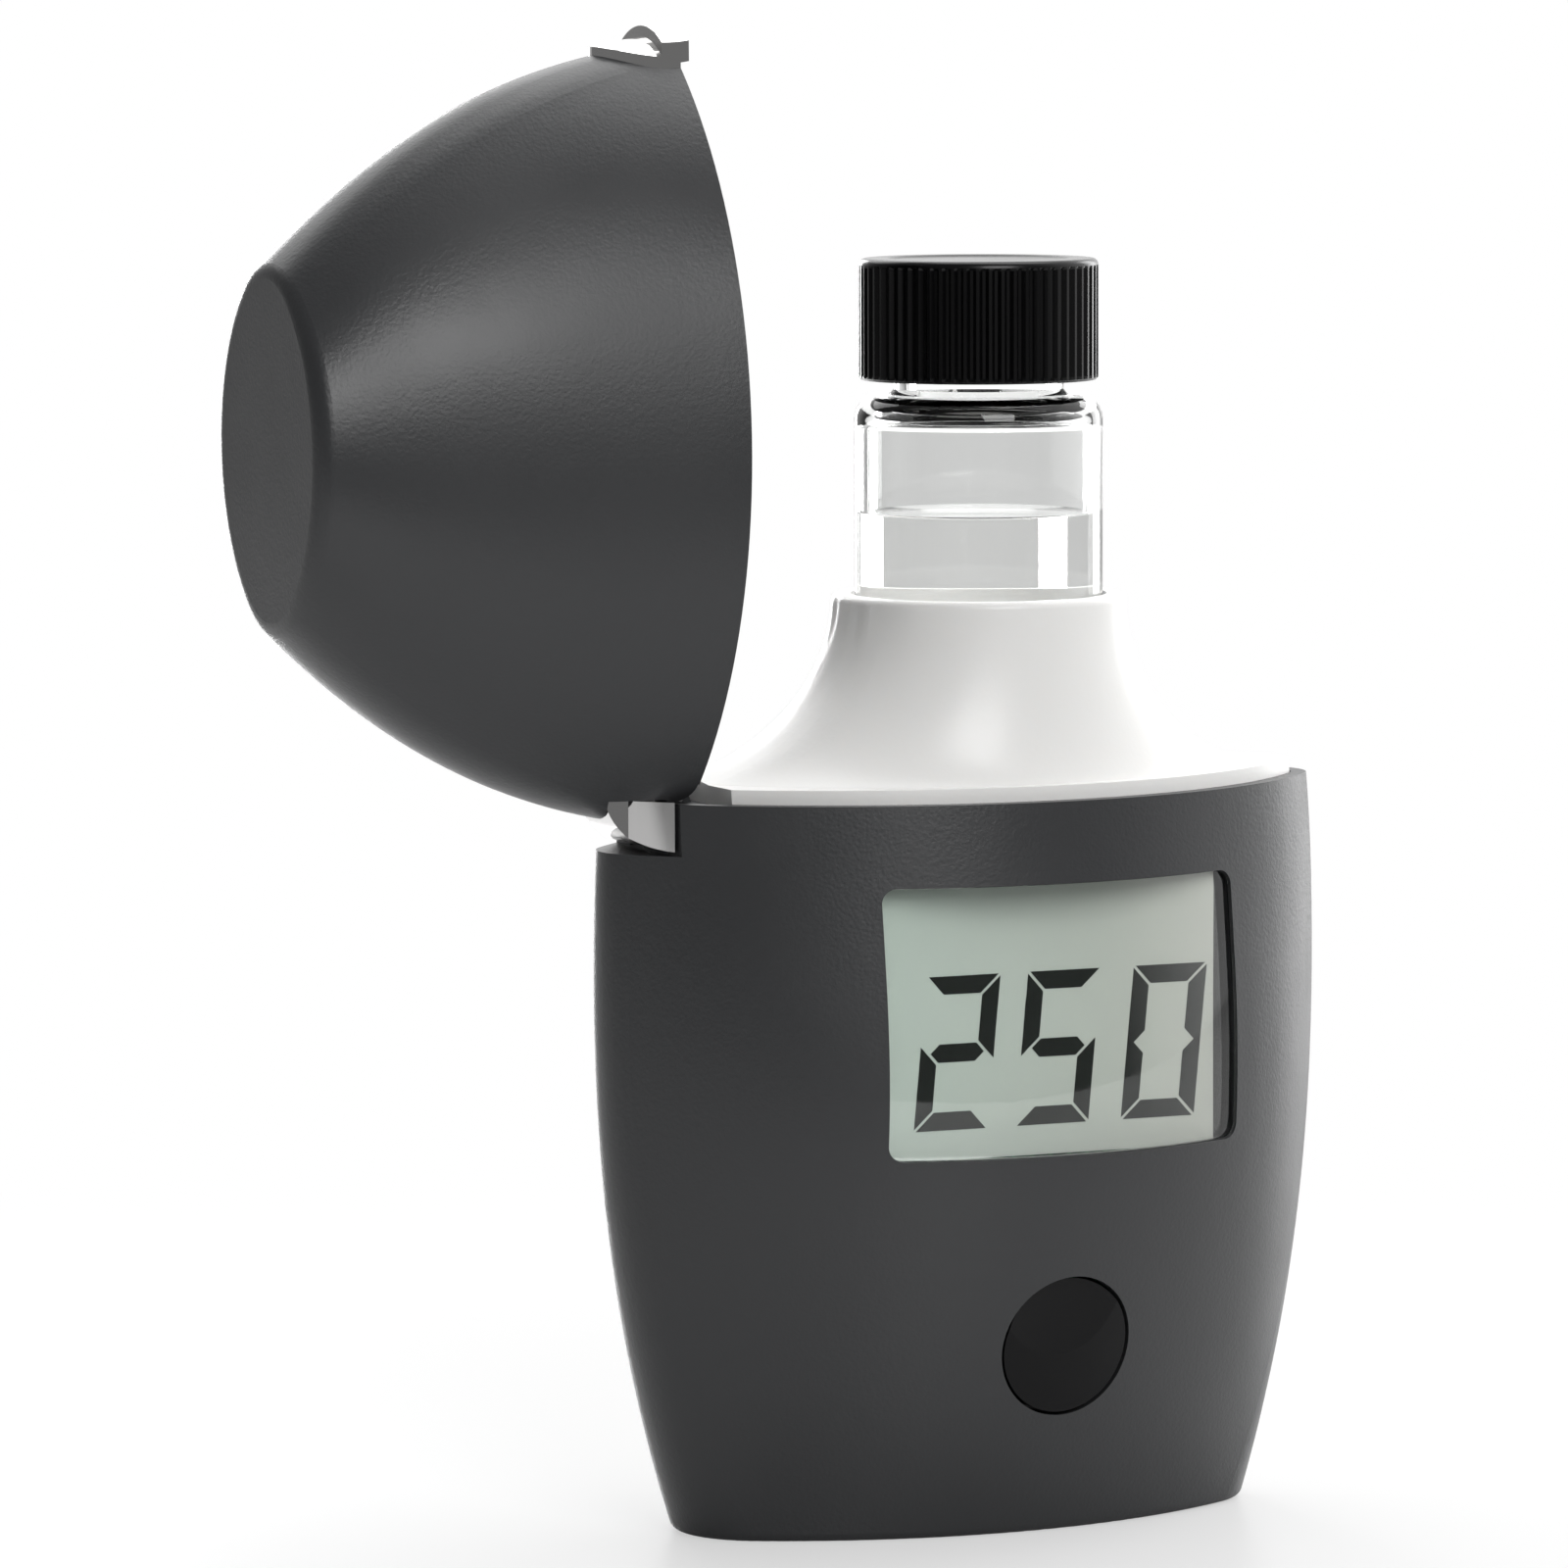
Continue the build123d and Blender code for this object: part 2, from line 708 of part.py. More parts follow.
# Lid shell: upper half of the egg, cut back at the hinge, shown closed and then swung open
with BuildPart() as lid_shell:
    add(egg_form(0))
    fillet(lid_shell.edges().group_by(Axis.Z)[-1], top_edge)
    split(bisect_by=Plane.XY.offset(seam_height), keep=Keep.TOP)
    add(egg_form(lid_wall, top=case_height - roof), mode=Mode.SUBTRACT)
    add(egg_form(lip_inset, top=seam_height + lip_height), mode=Mode.SUBTRACT)
    with BuildSketch(hinge_plane.offset(-case_depth / 2)):
        Circle(barrel_radius + seat_gap)
        with Locations((lid_end_x - hinge_x, 0)):
            Rectangle(
                case_length,
                case_length,
                align=(Align.MIN, Align.CENTER),
                mode=Mode.SUBTRACT,
            )
        Rectangle(case_length, case_length, align=(Align.MAX, Align.MAX))
        Circle(ear_radius, mode=Mode.SUBTRACT)
    extrude(amount=case_depth, mode=Mode.SUBTRACT)
    with BuildSketch(hinge_plane.offset(-cheek_half - seat_gap)):
        Circle(barrel_radius + seat_gap)
    extrude(amount=2 * cheek_half + 2 * seat_gap, mode=Mode.SUBTRACT)
lid_shell.part.move(open_pose)
lid_shell.part.label = "lid_shell"
export_step(lid_shell.part, "parts/lid_shell.step")

# Latch tongue: bright plate wrapped over the lid's free end, with a pull lip past the seam
tongue_low = seam_height - tongue_overlap
half_length_seam, half_depth_seam, tip_seam = egg_size(seam_height)
tongue_plane = Plane(origin=(half_length_seam - seam_tip, 0, seam_height), x_dir=(0, 1, 0), z_dir=(1, 0, 0))
with BuildPart() as latch_plate:
    with BuildSketch(tongue_plane):
        Ellipse(tongue_half, tongue_height)
        with Locations((0, -tongue_overlap)):
            Rectangle(2 * case_length, case_length, align=(Align.CENTER, Align.MAX), mode=Mode.SUBTRACT)
    extrude(amount=seam_tip + 4 * tongue_sheet)
    with BuildPart(mode=Mode.PRIVATE) as skin:
        add(egg_form(-tongue_sheet))
        with BuildPart(mode=Mode.PRIVATE) as lip_skin:
            add(egg_form(-lip_sheet, bottom=tongue_low, top=seam_height + lip_block))
        add(lip_skin.part)
    add(skin.part, mode=Mode.INTERSECT)
    add(egg_form(0), mode=Mode.SUBTRACT)
    add(egg_form(-swing_gap, top=seam_height), mode=Mode.SUBTRACT)
latch_plate.part.move(open_pose)
latch_plate.part.label = "latch_plate"
export_step(latch_plate.part, "parts/latch_plate.step")

# Hinge block: bright quarter barrel on the lid, shown open, flush with the body's tip
with BuildPart() as hinge_block:
    with BuildSketch(hinge_plane.offset(-case_depth / 2)):
        Circle(barrel_radius)
        with Locations((-barrel_cut, 0)):
            Rectangle(case_length, case_length, align=(Align.MIN, Align.CENTER), mode=Mode.SUBTRACT)
        with Locations((0, block_top - hinge_z)):
            Rectangle(case_length, case_length, align=(Align.CENTER, Align.MIN), mode=Mode.SUBTRACT)
    extrude(amount=case_depth)
    with BuildPart(mode=Mode.PRIVATE) as tip_outline:
        with BuildSketch(Plane.XY.offset(notch_z - swing_gap)):
            with BuildLine():
                oval_line(half_length_seam, half_depth_seam, tip_seam)
            make_face()
            with Locations((hinge_x, 0)):
                Rectangle(2 * barrel_radius, 2 * barrel_blunt, align=(Align.MAX, Align.CENTER))
        extrude(amount=2 * barrel_radius)
    add(tip_outline.part, mode=Mode.INTERSECT)
    with BuildSketch(hinge_plane.offset(-cheek_half)):
        Circle(barrel_radius)
        with Locations((-barrel_cut, 0)):
            Rectangle(case_length, case_length, align=(Align.MIN, Align.CENTER), mode=Mode.SUBTRACT)
        with Locations((0, block_top - hinge_z)):
            Rectangle(case_length, case_length, align=(Align.CENTER, Align.MAX), mode=Mode.SUBTRACT)
        with Locations((0, web_height)):
            Rectangle(case_length, case_length, align=(Align.CENTER, Align.MIN), mode=Mode.SUBTRACT)
        Circle(knuckle_radius)
    extrude(amount=2 * cheek_half)
    with BuildSketch(hinge_plane.offset(-knuckle_half - cheek_gap)):
        Circle(knuckle_radius + swing_gap)
    extrude(amount=2 * knuckle_half + 2 * cheek_gap, mode=Mode.SUBTRACT)
    with BuildSketch(hinge_plane.offset(-cheek_half)):
        Circle(pin_radius + fit_gap / 2)
    extrude(amount=2 * cheek_half, mode=Mode.SUBTRACT)
hinge_block.part.label = "hinge_block"
export_step(hinge_block.part, "parts/hinge_block.step")

with BuildPart() as hinge_pin:
    with BuildSketch(hinge_plane.offset(-cheek_half)):
        Circle(pin_radius)
    extrude(amount=2 * cheek_half)
hinge_pin.part.label = "hinge_pin"
export_step(hinge_pin.part, "parts/hinge_pin.step")

# Cuvette: glass vial with a round shoulder and a narrow mouth
glass_plane = Plane(origin=(axis_x, 0, 0), x_dir=(1, 0, 0), z_dir=(0, -1, 0))
with BuildPart() as cuvette_glass:
    with BuildSketch(glass_plane):
        with BuildLine():
            FilletPolyline(
                (0, glass_bottom),
                (glass_radius, glass_bottom),
                (glass_radius, shoulder_height),
                (mouth_radius, shoulder_height),
                (mouth_radius, mouth_top),
                radius=[foot_edge, shoulder_edge, mouth_edge],
            )
            Polyline(
                (mouth_radius, mouth_top),
                (mouth_radius - glass_wall, mouth_top),
                (mouth_radius - glass_wall, shoulder_height - glass_wall),
                (glass_radius - glass_wall, shoulder_height - glass_wall - shoulder_slope),
                (glass_radius - glass_wall, glass_bottom + glass_floor),
                (0, glass_bottom + glass_floor),
                (0, glass_bottom),
            )
        make_face()
    revolve(axis=Axis((axis_x, 0, 0), (0, 0, 1)))
cuvette_glass.part.label = "cuvette_glass"
export_step(cuvette_glass.part, "parts/cuvette_glass.step")

with BuildPart() as sample_liquid:
    with BuildSketch(Plane.XY.offset(glass_bottom + glass_floor)):
        with Locations((axis_x, 0)):
            Circle(glass_radius - glass_wall - fit_gap / 2)
    extrude(amount=liquid_height)
sample_liquid.part.label = "sample_liquid"
export_step(sample_liquid.part, "parts/sample_liquid.step")

# Liner disc and the ribbed cap that turns on the glass
with BuildPart() as cap_liner:
    with BuildSketch(Plane.XY.offset(liner_top - liner_height)):
        with Locations((axis_x, 0)):
            Circle(mouth_radius + fit_gap)
    extrude(amount=liner_height)
cap_liner.part.label = "cap_liner"
export_step(cap_liner.part, "parts/cap_liner.step")

with BuildPart() as cuvette_cap:
    with BuildSketch(Plane.XY.offset(cap_bottom)):
        with Locations((axis_x, 0)):
            Circle(cap_radius)
    extrude(amount=cap_height)
    fillet(cuvette_cap.edges().group_by(Axis.Z)[-1], cap_edge)
    with BuildSketch(Plane.XY.offset(cap_bottom)):
        with Locations((axis_x, 0)):
            with PolarLocations(cap_radius, cap_ribs):
                Circle(rib_groove)
    extrude(amount=cap_height - cap_wall / 2, mode=Mode.SUBTRACT)
    with BuildSketch(Plane.XY.offset(cap_bottom)):
        with Locations((axis_x, 0)):
            Circle(mouth_radius + 2 * fit_gap)
    extrude(amount=cap_height - cap_wall, mode=Mode.SUBTRACT)
cuvette_cap.part.label = "cuvette_cap"
export_step(cuvette_cap.part, "parts/cuvette_cap.step")
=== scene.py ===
import math
import bpy
from mathutils import Matrix, Quaternion, Vector


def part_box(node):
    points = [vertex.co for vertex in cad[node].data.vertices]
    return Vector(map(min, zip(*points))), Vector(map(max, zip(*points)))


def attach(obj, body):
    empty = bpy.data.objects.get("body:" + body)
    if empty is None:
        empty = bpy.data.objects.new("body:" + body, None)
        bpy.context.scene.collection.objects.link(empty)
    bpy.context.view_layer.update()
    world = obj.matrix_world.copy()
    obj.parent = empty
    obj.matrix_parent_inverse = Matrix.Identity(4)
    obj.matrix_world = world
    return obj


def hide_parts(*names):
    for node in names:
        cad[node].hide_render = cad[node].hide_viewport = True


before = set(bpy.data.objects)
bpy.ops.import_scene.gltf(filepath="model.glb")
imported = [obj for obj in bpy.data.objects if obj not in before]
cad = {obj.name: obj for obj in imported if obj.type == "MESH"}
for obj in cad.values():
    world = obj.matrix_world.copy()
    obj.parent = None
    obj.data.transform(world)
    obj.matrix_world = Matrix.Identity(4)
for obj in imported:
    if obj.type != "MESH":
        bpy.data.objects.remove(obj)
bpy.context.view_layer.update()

# Camera: a long lens a step away, a little above the meter and to its left,
# so that the front, the left edge and the dome of the open lid show.
camera_distance = 0.68807
camera_turn = math.radians(25.81)
camera_rise = math.radians(6.4)
camera_roll = math.radians(-0.15)
aim_height = 0.045
aim_left = 0.01357
aim_up = 0.01217
toward_camera = Vector((
    -math.sin(camera_turn) * math.cos(camera_rise),
    -math.cos(camera_turn) * math.cos(camera_rise),
    math.sin(camera_rise),
))
view_right = Vector((math.cos(camera_turn), -math.sin(camera_turn), 0))
view_up = view_right.cross(-toward_camera)
aim = Vector((0, 0, aim_height))
camera_place = aim + camera_distance * toward_camera
aim = aim - aim_left * view_right + aim_up * view_up
bpy.ops.object.select_all(action="DESELECT")
bpy.ops.object.camera_add(location=camera_place)
camera = bpy.context.object
camera.name = "photo_camera"
camera.data.sensor_width = 36
camera.data.lens = 202.5
camera.data.clip_start = 0.05
look = (aim - camera_place).to_track_quat("-Z", "Y") @ Quaternion((0, 0, 1), camera_roll)
camera.rotation_euler = look.to_euler()
bpy.context.scene.camera = camera
bpy.context.scene.view_settings.view_transform = "Standard"

# Studio room: bright behind and to the right, dim on the left and in front, so
# that satin faces stay dark and only the grazing edges pick up the white.
room = bpy.data.worlds.new("studio_room")
bpy.context.scene.world = room
room.use_nodes = True
nodes, links = room.node_tree.nodes, room.node_tree.links
nodes.clear()
sky_out = nodes.new("ShaderNodeOutputWorld")
sky_light = nodes.new("ShaderNodeBackground")
sky_seen = nodes.new("ShaderNodeBackground")
sky_seen.inputs["Color"].default_value = (1, 1, 1, 1)
sky_mix = nodes.new("ShaderNodeMixShader")
sky_path = nodes.new("ShaderNodeLightPath")
sky_way = nodes.new("ShaderNodeTexCoord")
sky_side = nodes.new("ShaderNodeVectorMath")
sky_side.operation = "DOT_PRODUCT"
sky_side.inputs[1].default_value = (0.80, 0.50, 0.33)
sky_ramp = nodes.new("ShaderNodeMapRange")
sky_ramp.interpolation_type = "SMOOTHSTEP"
sky_ramp.inputs["From Min"].default_value = 0.05
sky_ramp.inputs["From Max"].default_value = 0.85
sky_ramp.inputs["To Min"].default_value = 0.16
sky_ramp.inputs["To Max"].default_value = 1.35
links.new(sky_way.outputs["Generated"], sky_side.inputs[0])
links.new(sky_side.outputs["Value"], sky_ramp.inputs["Value"])
links.new(sky_ramp.outputs["Result"], sky_light.inputs["Color"])
links.new(sky_path.outputs["Is Camera Ray"], sky_mix.inputs["Fac"])
links.new(sky_light.outputs[0], sky_mix.inputs[1])
links.new(sky_seen.outputs[0], sky_mix.inputs[2])
links.new(sky_mix.outputs[0], sky_out.inputs["Surface"])

# Soft boxes: one overhead, one high in front, and three behind that draw bright
# lines along the flanks and the rims. All of them face the middle of the meter.
lamp_aim = Vector((0, 0, 0.055))
lamps = {
    "overhead_box": ((0.12, 0.10, 0.75), (0.60, 0.50), 2.5),
    "front_box": ((-0.08, -0.80, 0.50), (0.45, 0.45), 3.9),
    "right_strip": ((0.60, 0.30, 0.20), (0.25, 0.50), 1.5),
    "rear_box": ((-0.05, 0.60, 0.55), (0.60, 0.30), 0.9),
    "rear_strip": ((0.10, 0.80, 0.12), (0.14, 0.45), 2.8),
}
for lamp_name, (lamp_place, lamp_size, lamp_watts) in lamps.items():
    bpy.ops.object.light_add(type="AREA", location=lamp_place)
    lamp = bpy.context.object
    lamp.name = lamp_name
    lamp.data.shape = "RECTANGLE"
    lamp.data.size, lamp.data.size_y = lamp_size
    lamp.data.energy = lamp_watts
    lamp.rotation_euler = (lamp_aim - lamp.location).to_track_quat("-Z", "Y").to_euler()

# Floor: a pale sheet that keeps the meter's soft shadow close by and fades
# into the white of the room further out. It ends a little way in front.
floor_half = 1.6
floor_front = 0.22
floor_drop = 0.0001
bpy.ops.object.select_all(action="DESELECT")
floor_middle = (0, floor_half - floor_front, -floor_drop)
bpy.ops.mesh.primitive_plane_add(size=2 * floor_half, location=floor_middle)
floor = bpy.context.object
floor.name = "floor"
bpy.ops.object.transform_apply(location=True)
floor_paint = bpy.data.materials.new("floor_paper")
floor_paint.use_nodes = True
nodes, links = floor_paint.node_tree.nodes, floor_paint.node_tree.links
paper = nodes["Principled BSDF"]
paper.inputs["Base Color"].default_value = (0.66, 0.66, 0.66, 1)
paper.inputs["Roughness"].default_value = 0.35
paper.inputs["Specular IOR Level"].default_value = 0.35
glow = nodes.new("ShaderNodeEmission")
path = nodes.new("ShaderNodeLightPath")
floor_place = nodes.new("ShaderNodeTexCoord")
floor_reach = nodes.new("ShaderNodeVectorMath")
floor_reach.operation = "LENGTH"
floor_fade = nodes.new("ShaderNodeMapRange")
floor_fade.interpolation_type = "SMOOTHSTEP"
floor_fade.inputs["From Min"].default_value = 0.05
floor_fade.inputs["From Max"].default_value = 0.2
floor_fade.inputs["To Min"].default_value = 0.55
floor_fade.inputs["To Max"].default_value = 1.0
share = nodes.new("ShaderNodeMath")
share.operation = "MULTIPLY"
blend = nodes.new("ShaderNodeMixShader")
links.new(floor_place.outputs["Object"], floor_reach.inputs[0])
links.new(floor_reach.outputs["Value"], floor_fade.inputs["Value"])
links.new(floor_fade.outputs["Result"], share.inputs[1])
links.new(path.outputs["Is Camera Ray"], share.inputs[0])
links.new(share.outputs[0], blend.inputs["Fac"])
links.new(paper.outputs[0], blend.inputs[1])
links.new(glow.outputs[0], blend.inputs[2])
links.new(blend.outputs[0], nodes["Material Output"].inputs["Surface"])
floor.data.materials.append(floor_paint)

# Body shell: lower half of the case, one satin moulding in dark grey plastic
# with a fine spark-eroded grain that softens every highlight.
grain_group = bpy.data.node_groups.new("moulded_grain", "ShaderNodeTree")
grain_group.interface.new_socket("Scale", in_out="INPUT", socket_type="NodeSocketFloat")
grain_group.interface.new_socket("Streaks", in_out="INPUT", socket_type="NodeSocketFloat")
grain_group.interface.new_socket("Grain", in_out="OUTPUT", socket_type="NodeSocketFloat")
grain_group.interface.new_socket("Cloud", in_out="OUTPUT", socket_type="NodeSocketFloat")
nodes, links = grain_group.nodes, grain_group.links
group_in = nodes.new("NodeGroupInput")
group_out = nodes.new("NodeGroupOutput")
where = nodes.new("ShaderNodeTexCoord")
fine = nodes.new("ShaderNodeTexNoise")
fine.inputs["Detail"].default_value = 3
pits = nodes.new("ShaderNodeTexVoronoi")
pits.feature = "SMOOTH_F1"
pit_scale = nodes.new("ShaderNodeMath")
pit_scale.operation = "MULTIPLY"
pit_scale.inputs[1].default_value = 0.6
sum_up = nodes.new("ShaderNodeMath")
cloud = nodes.new("ShaderNodeTexNoise")
cloud.inputs["Scale"].default_value = 45
cloud.inputs["Detail"].default_value = 4
stretch = nodes.new("ShaderNodeMapping")
streak_scale = nodes.new("ShaderNodeCombineXYZ")
streak_scale.inputs["X"].default_value = 1
streak_scale.inputs["Y"].default_value = 1
links.new(group_in.outputs["Streaks"], streak_scale.inputs["Z"])
links.new(streak_scale.outputs[0], stretch.inputs["Scale"])
links.new(where.outputs["Object"], stretch.inputs["Vector"])
links.new(stretch.outputs[0], cloud.inputs["Vector"])
links.new(where.outputs["Object"], fine.inputs["Vector"])
links.new(where.outputs["Object"], pits.inputs["Vector"])
links.new(group_in.outputs["Scale"], fine.inputs["Scale"])
links.new(group_in.outputs["Scale"], pit_scale.inputs[0])
links.new(pit_scale.outputs[0], pits.inputs["Scale"])
links.new(fine.outputs["Fac"], sum_up.inputs[0])
links.new(pits.outputs["Distance"], sum_up.inputs[1])
links.new(sum_up.outputs[0], group_out.inputs["Grain"])
links.new(cloud.outputs["Fac"], group_out.inputs["Cloud"])


def moulded(name, colour, roughness, grain_scale, grain_depth, streaks=1.0, spread=0.06, tint=0.08):
    """A moulded plastic: one colour, a grain of a given size, and clouds in gloss and shade."""
    material = bpy.data.materials.new(name)
    material.use_nodes = True
    tree = material.node_tree
    surface = tree.nodes["Principled BSDF"]
    group = tree.nodes.new("ShaderNodeGroup")
    group.node_tree = grain_group
    group.inputs["Scale"].default_value = grain_scale
    group.inputs["Streaks"].default_value = streaks
    gloss = tree.nodes.new("ShaderNodeMapRange")
    gloss.inputs["From Min"].default_value = 0.3
    gloss.inputs["From Max"].default_value = 0.7
    gloss.inputs["To Min"].default_value = roughness - spread
    gloss.inputs["To Max"].default_value = roughness + spread
    shade = tree.nodes.new("ShaderNodeMix")
    shade.data_type = "RGBA"
    dark = [channel * (1 - tint) for channel in colour]
    light = [channel * (1 + tint) for channel in colour]
    shade.inputs["A"].default_value = (*dark, 1)
    shade.inputs["B"].default_value = (*light, 1)
    relief = tree.nodes.new("ShaderNodeBump")
    relief.inputs["Distance"].default_value = grain_depth
    relief.inputs["Strength"].default_value = 1
    tree.links.new(group.outputs["Cloud"], gloss.inputs["Value"])
    tree.links.new(group.outputs["Cloud"], shade.inputs["Factor"])
    tree.links.new(gloss.outputs["Result"], surface.inputs["Roughness"])
    tree.links.new(shade.outputs["Result"], surface.inputs["Base Color"])
    tree.links.new(group.outputs["Grain"], relief.inputs["Height"])
    tree.links.new(relief.outputs["Normal"], surface.inputs["Normal"])
    return material


def dress(node, material):
    """Gives one node of the model its material."""
    cad[node].data.materials.clear()
    cad[node].data.materials.append(material)


case_plastic = moulded("case_plastic", (0.031, 0.032, 0.034), 0.38, 5200, 0.000012)
dress("body_shell", case_plastic)

# Inner cover: glossy-satin off-white moulding that flares from the neck to
# the case's rim; light enters its skin a little.
cover_plastic = moulded("cover_plastic", (0.84, 0.835, 0.82), 0.34, 3600, 0.000004, tint=0.012)
cover_skin = cover_plastic.node_tree.nodes["Principled BSDF"]
cover_skin.inputs["Subsurface Weight"].default_value = 0.15
cover_skin.inputs["Subsurface Radius"].default_value = (0.0012, 0.0011, 0.001)
dress("inner_cover", cover_plastic)

# Seals: soft black rubber rings. One sits in a groove of the neck and grips the
# cuvette; the other lies on the battery door.
seal_rubber = moulded("seal_rubber", (0.018, 0.018, 0.018), 0.6, 2600, 0.00001)
dress("cuvette_seal", seal_rubber)
dress("battery_seal", seal_rubber)

# Cuvette well: a matte black moulded tube with ports for the light path, which
# lets no stray light reach the detector.
well_plastic = moulded("well_plastic", (0.012, 0.012, 0.012), 0.55, 2600, 0.00001)
dress("cuvette_well", well_plastic)

# Lid shell: upper half of the case, moulded in the same plastic as the body and
# hung on the hinge at the left end.
dress("lid_shell", case_plastic)

# Battery door and switch parts: plain mouldings with a coarser grain. The switch
# sits on the main board behind the button.
door_plastic = moulded("door_plastic", (0.028, 0.029, 0.031), 0.42, 4200, 0.00002)
dress("battery_door", door_plastic)
switch_plastic = moulded("switch_plastic", (0.03, 0.03, 0.032), 0.4, 3000, 0.00001)
dress("key_switch", switch_plastic)
plunger_plastic = moulded("plunger_plastic", (0.22, 0.06, 0.03), 0.4, 3000, 0.00001)
dress("switch_plunger", plunger_plastic)

# Power button: polished black moulding, dished for a fingertip, that slides in
# its hole in the case.
button_plastic = moulded(
    "button_plastic", (0.004, 0.004, 0.0045), 0.14, 3000, 0.0000006, spread=0.03
)
button_face = button_plastic.node_tree.nodes["Principled BSDF"]
button_face.inputs["Specular IOR Level"].default_value = 0.2
dress("power_button", button_plastic)

# Latch plate and hinge block: bright plated metal, fixed to the lid's two ends,
# with faint handling marks.
bright_plate = bpy.data.materials.new("bright_plate")
bright_plate.use_nodes = True
nodes, links = bright_plate.node_tree.nodes, bright_plate.node_tree.links
plate = nodes["Principled BSDF"]
plate.inputs["Metallic"].default_value = 1
marks = nodes.new("ShaderNodeGroup")
marks.node_tree = grain_group
marks.inputs["Scale"].default_value = 900
marks.inputs["Streaks"].default_value = 1
mark_gloss = nodes.new("ShaderNodeMapRange")
mark_gloss.inputs["From Min"].default_value = 0.35
mark_gloss.inputs["From Max"].default_value = 0.75
mark_gloss.inputs["To Min"].default_value = 0.05
mark_gloss.inputs["To Max"].default_value = 0.16
mark_shade = nodes.new("ShaderNodeMix")
mark_shade.data_type = "RGBA"
mark_shade.inputs["A"].default_value = (0.80, 0.79, 0.785, 1)
mark_shade.inputs["B"].default_value = (0.86, 0.855, 0.85, 1)
links.new(marks.outputs["Cloud"], mark_gloss.inputs["Value"])
links.new(marks.outputs["Cloud"], mark_shade.inputs["Factor"])
links.new(mark_gloss.outputs["Result"], plate.inputs["Roughness"])
links.new(mark_shade.outputs["Result"], plate.inputs["Base Color"])
dress("latch_plate", bright_plate)
dress("hinge_block", bright_plate)

# Hinge pin and board screws: drawn steel with fine lines round them. The pin
# goes through the body's knuckle, the screws hold the main board.
drawn_steel = bpy.data.materials.new("drawn_steel")
drawn_steel.use_nodes = True
nodes, links = drawn_steel.node_tree.nodes, drawn_steel.node_tree.links
steel = nodes["Principled BSDF"]
steel.inputs["Metallic"].default_value = 1
lines = nodes.new("ShaderNodeTexNoise")
lines.inputs["Scale"].default_value = 900
lines.inputs["Detail"].default_value = 3
line_place = nodes.new("ShaderNodeTexCoord")
line_map = nodes.new("ShaderNodeMapping")
line_map.inputs["Scale"].default_value = (0.2, 4, 0.2)
line_gloss = nodes.new("ShaderNodeMapRange")
line_gloss.inputs["To Min"].default_value = 0.2
line_gloss.inputs["To Max"].default_value = 0.45
line_shade = nodes.new("ShaderNodeMix")
line_shade.data_type = "RGBA"
line_shade.inputs["A"].default_value = (0.42, 0.42, 0.43, 1)
line_shade.inputs["B"].default_value = (0.66, 0.66, 0.66, 1)
links.new(line_place.outputs["Object"], line_map.inputs["Vector"])
links.new(line_map.outputs[0], lines.inputs["Vector"])
links.new(lines.outputs["Fac"], line_gloss.inputs["Value"])
links.new(lines.outputs["Fac"], line_shade.inputs["Factor"])
links.new(line_gloss.outputs["Result"], steel.inputs["Roughness"])
links.new(line_shade.outputs["Result"], steel.inputs["Base Color"])
dress("hinge_pin", drawn_steel)
dress("board_screws", drawn_steel)

# Display glass: grey-green polarizer film over the liquid crystal, with a very fine tooth.
# The film's own colour is the grey-green; the darker grey towards the right is painted
# shade from the right wall of the display recess.
film = bpy.data.materials.new("polarizer_film")
film.use_nodes = True
nodes, links = film.node_tree.nodes, film.node_tree.links
film_face = nodes["Principled BSDF"]
film_face.inputs["Roughness"].default_value = 0.38
film_face.inputs["Specular IOR Level"].default_value = 0.3
film_place = nodes.new("ShaderNodeTexCoord")
film_split = nodes.new("ShaderNodeSeparateXYZ")
# Painted shade: a run along X from the film's own grey-green on the left to a darker grey on the
# right, where the recess wall shades the film.
right_wall_shade_run = nodes.new("ShaderNodeMapRange")
display_low, display_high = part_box("display_glass")
right_wall_shade_run.inputs["From Min"].default_value = display_low.x
right_wall_shade_run.inputs["From Max"].default_value = display_high.x
# Colour A is the film's own grey-green; colour B, darker and greyer, is painted shade from the
# recess's right wall.
film_with_painted_shade = nodes.new("ShaderNodeMix")
film_with_painted_shade.data_type = "RGBA"
film_with_painted_shade.inputs["A"].default_value = (0.46, 0.54, 0.485, 1)
film_with_painted_shade.inputs["B"].default_value = (0.42, 0.435, 0.395, 1)
film_noise = nodes.new("ShaderNodeTexNoise")
film_noise.inputs["Scale"].default_value = 2200
film_relief = nodes.new("ShaderNodeBump")
film_relief.inputs["Distance"].default_value = 0.000002
links.new(film_place.outputs["Object"], film_split.inputs[0])
links.new(film_split.outputs["X"], right_wall_shade_run.inputs["Value"])
links.new(right_wall_shade_run.outputs["Result"], film_with_painted_shade.inputs["Factor"])
links.new(film_with_painted_shade.outputs["Result"], film_face.inputs["Base Color"])
links.new(film_place.outputs["Object"], film_noise.inputs["Vector"])
links.new(film_noise.outputs["Fac"], film_relief.inputs["Height"])
links.new(film_relief.outputs["Normal"], film_face.inputs["Normal"])
dress("display_glass", film)

